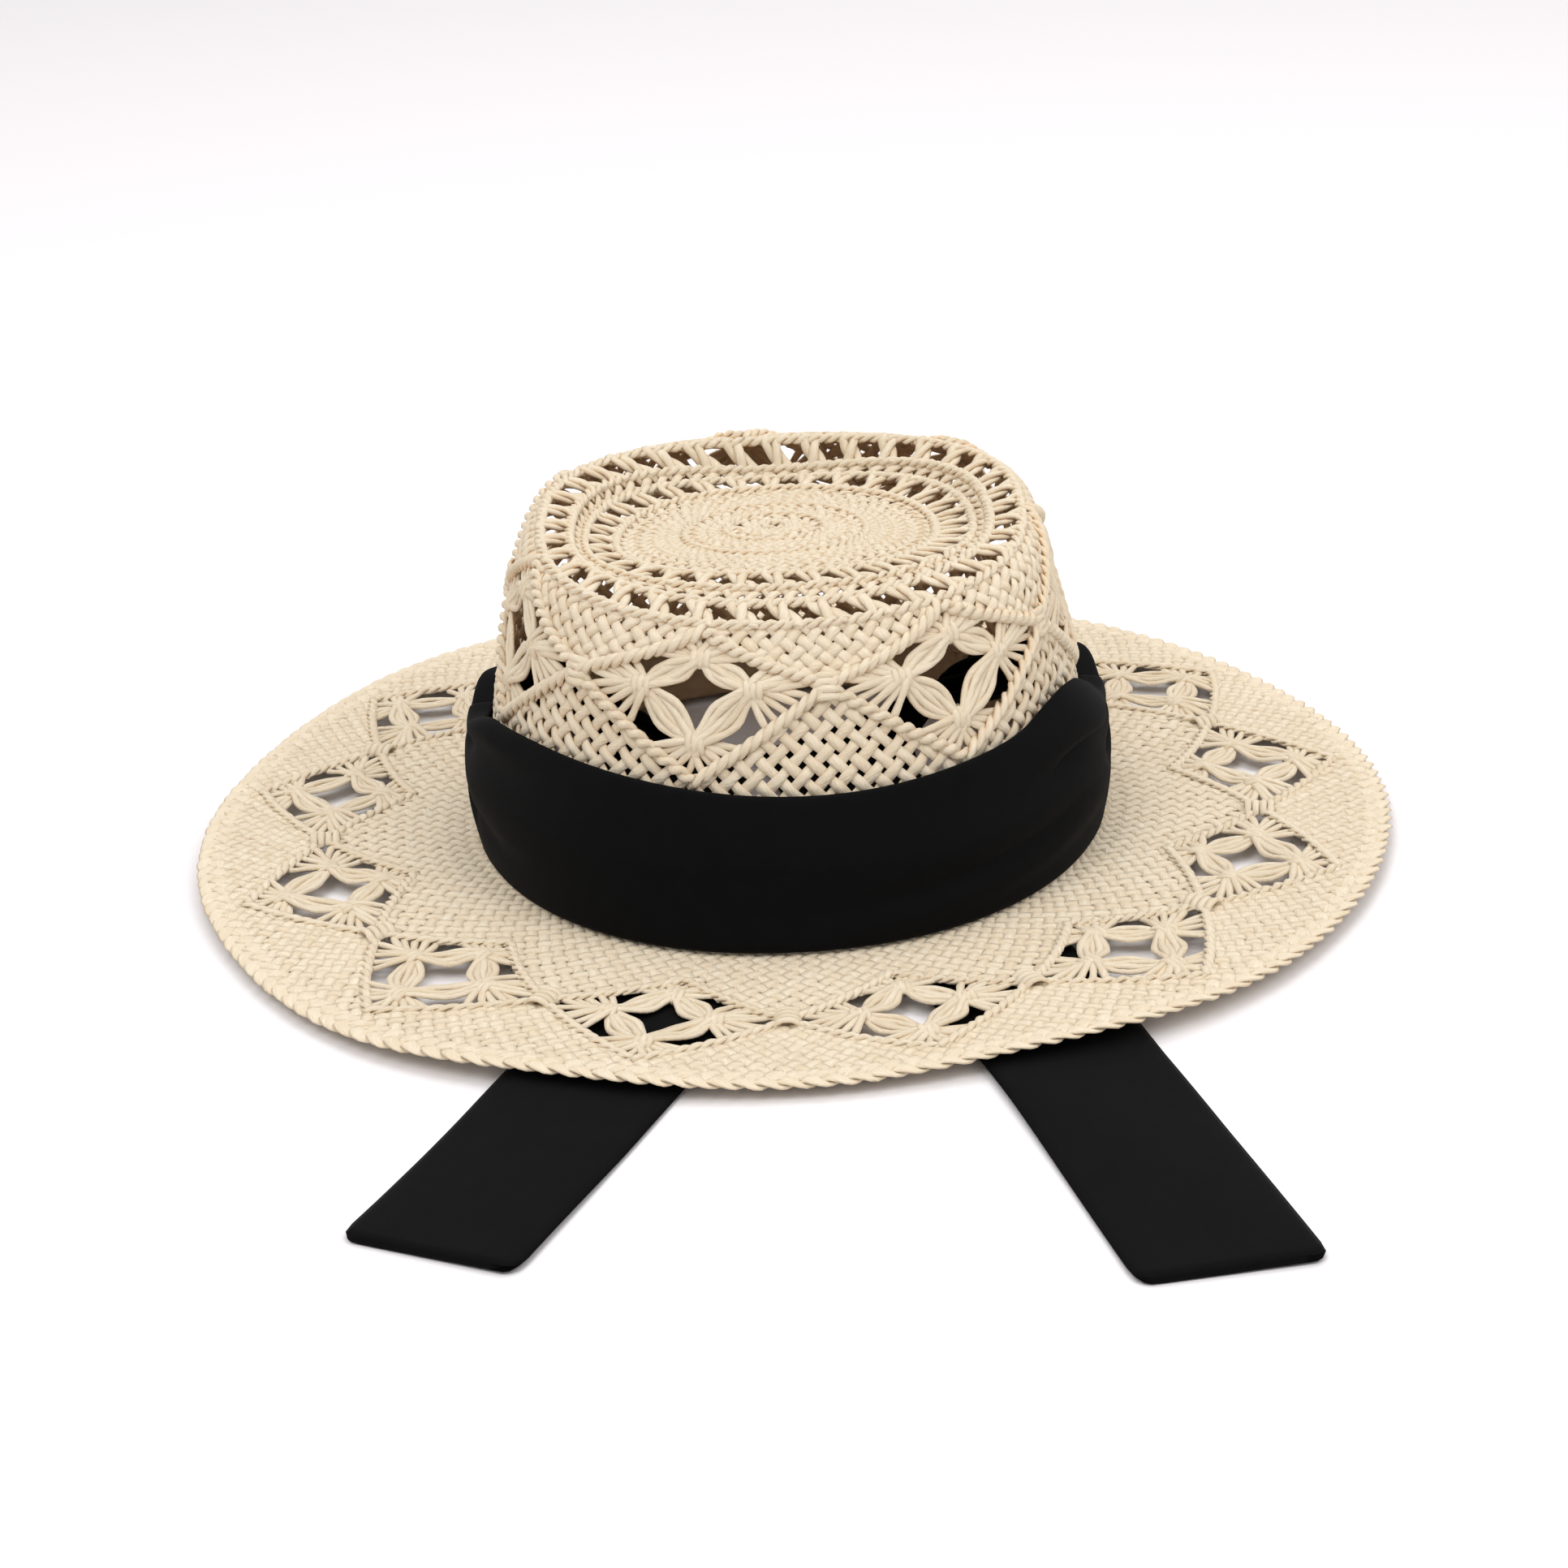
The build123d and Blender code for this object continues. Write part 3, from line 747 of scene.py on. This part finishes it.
def make_straw():
    """Every woven, twined and knotted piece of the hat, with the nodes that each stands for."""
    made = []

    def add(piece, nodes, slot):
        rest_on_hat(piece, nodes)
        made.append((piece, slot))

    tip = REACH["tip"]
    rings = [(3.0, 15.0, 14), (14.0, 27.0, 34), (26.0, tip, 56)]
    mats = [
        diagonal_field(f"mat_{i}", count, start, end, 2.7, rise=0.5, along=16, thick=1.0)
        for i, (start, end, count) in enumerate(rings)
    ]
    mats += [ring_cord(f"mat_cord_{i}", r, 0.35, 1.6) for i, r in enumerate((3.2, 14.5, 26.5))]
    add(joined("crown_tip_mat", mats), ["crown_tip"], "straw_crown")

    ladder = REACH["ladder"]
    posts = ladder_posts("posts", 32, tip - 1, ladder + 1, 5.0, 2.9)
    cords = [ring_cord("cord", tip, 0.6), ring_cord("cord", ladder, 0.6)]
    add(joined("tip_ladder_posts", [posts, *cords]), ["tip_ladder"], "straw_openwork")

    rim = REACH["rim"]
    add(diagonal_field("rim_rows", 68, ladder, rim, 3.0, along=12), ["crown_rim_weave"], "straw_crown")
    crest = REACH["crest"]
    posts = ladder_posts("posts", 36, rim - 1, crest + 1, 6.0, 3.1)
    cords = [ring_cord("cord", rim, 0.6), ring_cord("cord", crest, 0.6)]
    add(joined("rim_ladder_posts", [posts, *cords]), ["rim_ladder"], "straw_openwork")

    upper = diagonal_field(
        "crown_upper_strands", 90, crest, CROWN.middle, 3.4, rise=0.5, along=28,
        border=lambda turn: CROWN.border(turn, CROWN.near),
    )
    add(upper, ["crown_upper_weave"], "straw_crown")
    lower = diagonal_field(
        "crown_lower_strands", 82, REACH["brim"] - 2, CROWN.middle, 3.4, rise=0.55, along=60,
        border=lambda turn: CROWN.border(turn, CROWN.far),
    )
    add(lower, ["crown_lower_weave"], "straw_crown")
    add(twined_border("crown_cords", CROWN), ["crown_twined_border"], "straw_cord")
    for i in range(CROWN.count):
        threads = diamond_threads("threads", CROWN, i)
        wraps = knot_wraps("wraps", CROWN, i)
        add(joined(f"crown_openwork_{i + 1}", [threads, wraps]), [f"crown_diamond_{i + 1}"], "straw_openwork")

    inner = diagonal_field(
        "brim_inner_strands", 142, REACH["brim"] - 2, BRIM.middle, 3.8, rise=0.3, along=40, thick=0.9,
        border=lambda turn: BRIM.border(turn, BRIM.near),
    )
    add(inner, ["brim_inner_weave"], "straw_brim")
    outer = diagonal_field(
        "brim_outer_strands", 206, REACH["edge"] - 2, BRIM.middle, 3.8, rise=0.3, along=38, thick=0.9,
        border=lambda turn: BRIM.border(turn, BRIM.far),
    )
    add(outer, ["brim_outer_weave"], "straw_brim")
    add(twined_border("brim_cords", BRIM, 0.6), ["brim_twined_border"], "straw_cord")
    for i in range(BRIM.count):
        threads = diamond_threads("threads", BRIM, i)
        wraps = knot_wraps("wraps", BRIM, i)
        add(joined(f"brim_openwork_{i + 1}", [threads, wraps]), [f"brim_diamond_{i + 1}"], "straw_openwork")
    add(edge_braid("brim_plait"), ["brim_edge_braid"], "straw_braid")
    return made


# ---------------------------------------------------------------- materials

def new_group(name, inputs, outputs):
    """An empty node group with named sockets."""
    group = bpy.data.node_groups.new(name, "ShaderNodeTree")
    for socket, kind, value in inputs:
        made = group.interface.new_socket(socket, in_out="INPUT", socket_type=kind)
        if value is not None:
            made.default_value = value
    for socket, kind in outputs:
        group.interface.new_socket(socket, in_out="OUTPUT", socket_type=kind)
    return group, group.nodes.new("NodeGroupInput"), group.nodes.new("NodeGroupOutput")


def node(tree, kind, **settings):
    made = tree.nodes.new(kind)
    for key, value in settings.items():
        if key in made.inputs:
            made.inputs[key].default_value = value
        else:
            setattr(made, key, value)
    return made


def paper_group():
    """Twisted paper straw: creases along each strand, a tone of its own, fine fibre, and painted shade in the
    creases and at the strands' edges.
    """
    group, given, out = new_group(
        "twisted_paper",
        [("Strand", "NodeSocketVector", None), ("Tone", "NodeSocketFloat", 0.5),
         ("Light", "NodeSocketColor", (1, 1, 1, 1)), ("Dark", "NodeSocketColor", (0.5, 0.4, 0.3, 1)),
         ("Creases", "NodeSocketFloat", 1.0)],
        [("Color", "NodeSocketColor"), ("Height", "NodeSocketFloat"), ("Roughness", "NodeSocketFloat")],
    )
    link = group.links.new
    parts = node(group, "ShaderNodeSeparateXYZ")
    link(given.outputs["Strand"], parts.inputs[0])
    # The paper is twisted, so its creases run aslant across the strand
    slant = node(group, "ShaderNodeMath", operation="MULTIPLY_ADD")
    link(parts.outputs["X"], slant.inputs[0])
    slant.inputs[1].default_value = 2.6
    link(parts.outputs["Y"], slant.inputs[2])
    shift = node(group, "ShaderNodeMath", operation="MULTIPLY")
    link(given.outputs["Tone"], shift.inputs[0])
    shift.inputs[1].default_value = 57.0
    crease_at = node(group, "ShaderNodeCombineXYZ")
    link(parts.outputs["X"], crease_at.inputs["X"])
    link(slant.outputs[0], crease_at.inputs["Y"])
    link(shift.outputs[0], crease_at.inputs["Z"])
    creases = node(group, "ShaderNodeTexNoise", Scale=3.4, Detail=4.0, Roughness=0.65)
    link(crease_at.outputs[0], creases.inputs["Vector"])
    sharp = node(group, "ShaderNodeValToRGB")
    sharp.color_ramp.elements[0].position = 0.36
    sharp.color_ramp.elements[1].position = 0.62
    link(creases.outputs[0], sharp.inputs[0])
    fibre = node(group, "ShaderNodeTexNoise", Scale=38.0, Detail=2.0)
    link(crease_at.outputs[0], fibre.inputs["Vector"])
    # Painted shade: each strand is darker towards its edges, where it dips into the gaps
    edge = node(group, "ShaderNodeMath", operation="POWER")
    size = node(group, "ShaderNodeMath", operation="ABSOLUTE")
    link(parts.outputs["Y"], size.inputs[0])
    link(size.outputs[0], edge.inputs[0])
    edge.inputs[1].default_value = 5.0
    shade = node(group, "ShaderNodeMath", operation="MULTIPLY_ADD")
    link(edge.outputs[0], shade.inputs[0])
    shade.inputs[1].default_value = 0.35
    tone = node(group, "ShaderNodeMath", operation="MULTIPLY_ADD")
    link(given.outputs["Tone"], tone.inputs[0])
    tone.inputs[1].default_value = 0.3
    # Painted shade: the creases' valleys are darker, added to the strand's own tone
    crease_shade = node(group, "ShaderNodeMath", operation="MULTIPLY_ADD")
    link(sharp.outputs[0], crease_shade.inputs[0])
    crease_shade.inputs[1].default_value = -0.28
    crease_shade.inputs[2].default_value = 0.28
    link(crease_shade.outputs[0], tone.inputs[2])
    link(tone.outputs[0], shade.inputs[2])
    mix = node(group, "ShaderNodeMix", data_type="RGBA", clamp_factor=True)
    link(shade.outputs[0], mix.inputs["Factor"])
    link(given.outputs["Light"], mix.inputs[6])
    link(given.outputs["Dark"], mix.inputs[7])
    link(mix.outputs[2], out.inputs["Color"])
    height = node(group, "ShaderNodeMath", operation="MULTIPLY_ADD")
    link(fibre.outputs[0], height.inputs[0])
    height.inputs[1].default_value = 0.25
    link(sharp.outputs[0], height.inputs[2])
    scaled = node(group, "ShaderNodeMath", operation="MULTIPLY")
    link(height.outputs[0], scaled.inputs[0])
    link(given.outputs["Creases"], scaled.inputs[1])
    link(scaled.outputs[0], out.inputs["Height"])
    rough = node(group, "ShaderNodeMath", operation="MULTIPLY_ADD")
    link(fibre.outputs[0], rough.inputs[0])
    rough.inputs[1].default_value = 0.2
    rough.inputs[2].default_value = 0.55
    link(rough.outputs[0], out.inputs["Roughness"])
    return group


def straw_material(name, paper, light, dark):
    """Cream paper straw in one of its finishes."""
    made = bpy.data.materials.new(name)
    made.use_nodes = True
    tree = made.node_tree
    shader = tree.nodes["Principled BSDF"]
    strand = node(tree, "ShaderNodeUVMap", uv_map="strand")
    tone = node(tree, "ShaderNodeAttribute", attribute_name="tone")
    straw = node(tree, "ShaderNodeGroup", node_tree=paper)
    straw.inputs["Light"].default_value = (*light, 1)
    straw.inputs["Dark"].default_value = (*dark, 1)
    bump = node(tree, "ShaderNodeBump", Strength=0.55, Distance=0.0006)
    inner = node(tree, "ShaderNodeAttribute", attribute_name="inner")
    shade = node(tree, "ShaderNodeMix", data_type="RGBA", clamp_factor=True)
    link = tree.links.new
    link(strand.outputs["UV"], straw.inputs["Strand"])
    link(tone.outputs["Fac"], straw.inputs["Tone"])
    # Painted shade: the side that looks into the crown is given a deeper tan, so the shaded inside reads
    # brown
    link(inner.outputs["Fac"], shade.inputs["Factor"])
    link(straw.outputs["Color"], shade.inputs[6])
    # The painted shade's colour on the inward side
    shade.inputs[7].default_value = (0.74, 0.44, 0.20, 1)
    link(shade.outputs[2], shader.inputs["Base Color"])
    link(straw.outputs["Roughness"], shader.inputs["Roughness"])
    link(straw.outputs["Height"], bump.inputs["Height"])
    link(bump.outputs[0], shader.inputs["Normal"])
    shader.inputs["Specular IOR Level"].default_value = 0.35
    return made


def finish_straw(pieces):
    """The straw's finishes, one for each slot."""
    paper = paper_group()
    light, dark = (0.84, 0.74, 0.575), (0.68, 0.52, 0.33)
    finishes = {
        slot: straw_material(slot, paper, light, dark)
        for slot in ("straw_crown", "straw_openwork", "straw_cord", "straw_brim", "straw_braid")
    }
    for piece, slot in pieces:
        piece.data.materials.append(finishes[slot])


def tape_material():
    """Cotton tape in a plain weave of fine threads, darkened to a deep tan as painted shade for the shaded
    inside of the crown.
    """
    made = bpy.data.materials.new("sweatband")
    made.use_nodes = True
    tree = made.node_tree
    shader = tree.nodes["Principled BSDF"]
    link = tree.links.new
    cloth = node(tree, "ShaderNodeUVMap", uv_map="strand")
    warp = node(tree, "ShaderNodeTexWave", Scale=7.0, Distortion=0.6)
    weft = node(tree, "ShaderNodeTexWave", bands_direction="Y", Scale=7.0, Distortion=0.6)
    wear = node(tree, "ShaderNodeTexNoise", Scale=1.6, Detail=3.0)
    for texture in (warp, weft, wear):
        link(cloth.outputs["UV"], texture.inputs["Vector"])
    weave = node(tree, "ShaderNodeMath", operation="MAXIMUM")
    link(warp.outputs["Fac"], weave.inputs[0])
    link(weft.outputs["Fac"], weave.inputs[1])
    share = node(tree, "ShaderNodeMath", operation="MULTIPLY")
    link(weave.outputs[0], share.inputs[0])
    link(wear.outputs[0], share.inputs[1])
    # Painted shade: both tones are darkened to a deep tan so the shaded inside of the crown reads brown
    tone = node(tree, "ShaderNodeMix", data_type="RGBA")
    tone.inputs[6].default_value = (0.42, 0.28, 0.15, 1)
    tone.inputs[7].default_value = (0.72, 0.54, 0.35, 1)
    link(share.outputs[0], tone.inputs["Factor"])
    link(tone.outputs[2], shader.inputs["Base Color"])
    bump = node(tree, "ShaderNodeBump", Strength=0.4, Distance=0.0003)
    link(weave.outputs[0], bump.inputs["Height"])
    link(bump.outputs[0], shader.inputs["Normal"])
    shader.inputs["Roughness"].default_value = 0.9
    shader.inputs["Specular IOR Level"].default_value = 0.2
    return made


# ---------------------------------------------------------------- the stage

def make_stage():
    """A pale floor, soft light all round, and the camera."""
    bm = bmesh.new()
    bmesh.ops.create_grid(bm, x_segments=1, y_segments=1, size=6)
    mesh = bpy.data.meshes.new("floor")
    bm.to_mesh(mesh)
    bm.free()
    floor = bpy.data.objects.new("floor", mesh)
    bpy.context.collection.objects.link(floor)
    pale = bpy.data.materials.new("pale_floor")
    pale.use_nodes = True
    shader = pale.node_tree.nodes["Principled BSDF"]
    shader.inputs["Base Color"].default_value = (0.81, 0.79, 0.80, 1)
    shader.inputs["Roughness"].default_value = 0.9
    shader.inputs["Specular IOR Level"].default_value = 0.0
    mesh.materials.append(pale)

    world = bpy.data.worlds.new("studio")
    world.use_nodes = True
    world.node_tree.nodes["Background"].inputs["Color"].default_value = (1, 0.99, 0.995, 1)
    world.node_tree.nodes["Background"].inputs["Strength"].default_value = 0.75
    bpy.context.scene.world = world

    for name, spot, size, power in (
        ("key", (-0.7, -1.2, 1.9), 1.2, 16),
        ("fill", (1.3, -0.8, 1.5), 1.2, 11),
        ("top", (0.1, 0.6, 2.0), 1.6, 16),
    ):
        lamp = bpy.data.lights.new(name, "AREA")
        lamp.size = size
        lamp.energy = power
        holder = bpy.data.objects.new(name, lamp)
        holder.location = spot
        holder.rotation_euler = (-Vector(spot)).to_track_quat("-Z", "Y").to_euler()
        bpy.context.collection.objects.link(holder)

    elevation, distance, roll = radians(22), 1.13, radians(-2.6)
    target = Vector((-0.0017, 0, 0.009))
    ahead = Vector((0, cos(elevation), -sin(elevation)))
    right = Vector((1, 0, 0))
    up = right.cross(ahead)
    right, up = right * cos(roll) + up * sin(roll), up * cos(roll) - right * sin(roll)
    lens = bpy.data.cameras.new("camera")
    lens.lens = 86.9
    lens.sensor_width = 36
    camera = bpy.data.objects.new("camera", lens)
    turned = Matrix((right, up, -ahead)).transposed()
    camera.matrix_world = Matrix.Translation(target - ahead * distance) @ turned.to_4x4()
    bpy.context.collection.objects.link(camera)
    bpy.context.scene.camera = camera
    bpy.context.scene.view_settings.view_transform = "Standard"


finish_straw(make_straw())
for pieces, material in ((make_scarf(), ribbon_material()), (make_sweatband(), tape_material())):
    for piece in pieces:
        piece.data.materials.append(material)
make_stage()
